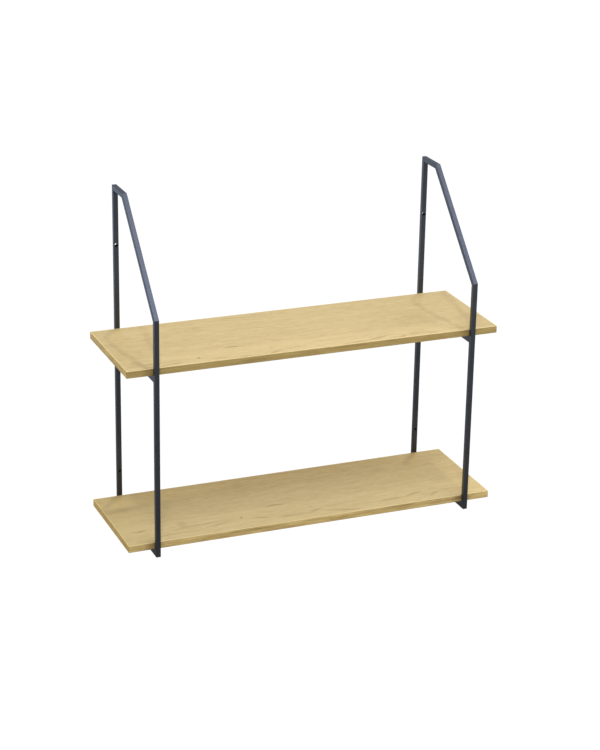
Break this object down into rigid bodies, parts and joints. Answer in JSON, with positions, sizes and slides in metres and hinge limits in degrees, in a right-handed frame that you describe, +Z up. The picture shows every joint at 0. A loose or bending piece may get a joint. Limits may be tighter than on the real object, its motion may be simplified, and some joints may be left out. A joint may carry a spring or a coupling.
{
  "type": "wall shelf",
  "caption": "Two wood-veneered shelf boards held between a pair of slim square-tube steel frames with slanted upper arms, drilled for wall screws.",
  "frame": {"origin": "centre of the rectangle of four wall-screw holes, on the wall plane", "axes": "+X along the shelves to the viewer's right, +Y into the wall, +Z up"},
  "size_m": [0.8, 0.264, 0.702],
  "materials": {
    "frame_coating": "satin charcoal powder coat",
    "weld_coating": "satin charcoal powder coat over weld beads",
    "oak_veneer": "matt lacquered light oak",
    "oak_edge_band": "matt lacquered light oak edge band",
    "board_core": "pressed wood core",
    "zinc_screw": "zinc plated"
  },
  "bodies": {
    "root": {"left_back_upright": "frame_coating", "left_frame_welds": "weld_coating", "left_front_upright": "frame_coating", "left_lower_board_screws": "zinc_screw", "left_lower_rail": "frame_coating", "left_slant_bar": "frame_coating", "left_top_bar": "frame_coating", "left_upper_board_screws": "zinc_screw", "left_upper_rail": "frame_coating", "lower_shelf_back_band": "oak_edge_band", "lower_shelf_bottom_veneer": "oak_veneer", "lower_shelf_core": "board_core", "lower_shelf_front_band": "oak_edge_band", "lower_shelf_left_band": "oak_edge_band", "lower_shelf_right_band": "oak_edge_band", "lower_shelf_top_veneer": "oak_veneer", "right_back_upright": "frame_coating", "right_frame_welds": "weld_coating", "right_front_upright": "frame_coating", "right_lower_board_screws": "zinc_screw", "right_lower_rail": "frame_coating", "right_slant_bar": "frame_coating", "right_top_bar": "frame_coating", "right_upper_board_screws": "zinc_screw", "right_upper_rail": "frame_coating", "upper_shelf_back_band": "oak_edge_band", "upper_shelf_bottom_veneer": "oak_veneer", "upper_shelf_core": "board_core", "upper_shelf_front_band": "oak_edge_band", "upper_shelf_left_band": "oak_edge_band", "upper_shelf_right_band": "oak_edge_band", "upper_shelf_top_veneer": "oak_veneer"}
  },
  "joints": []
}
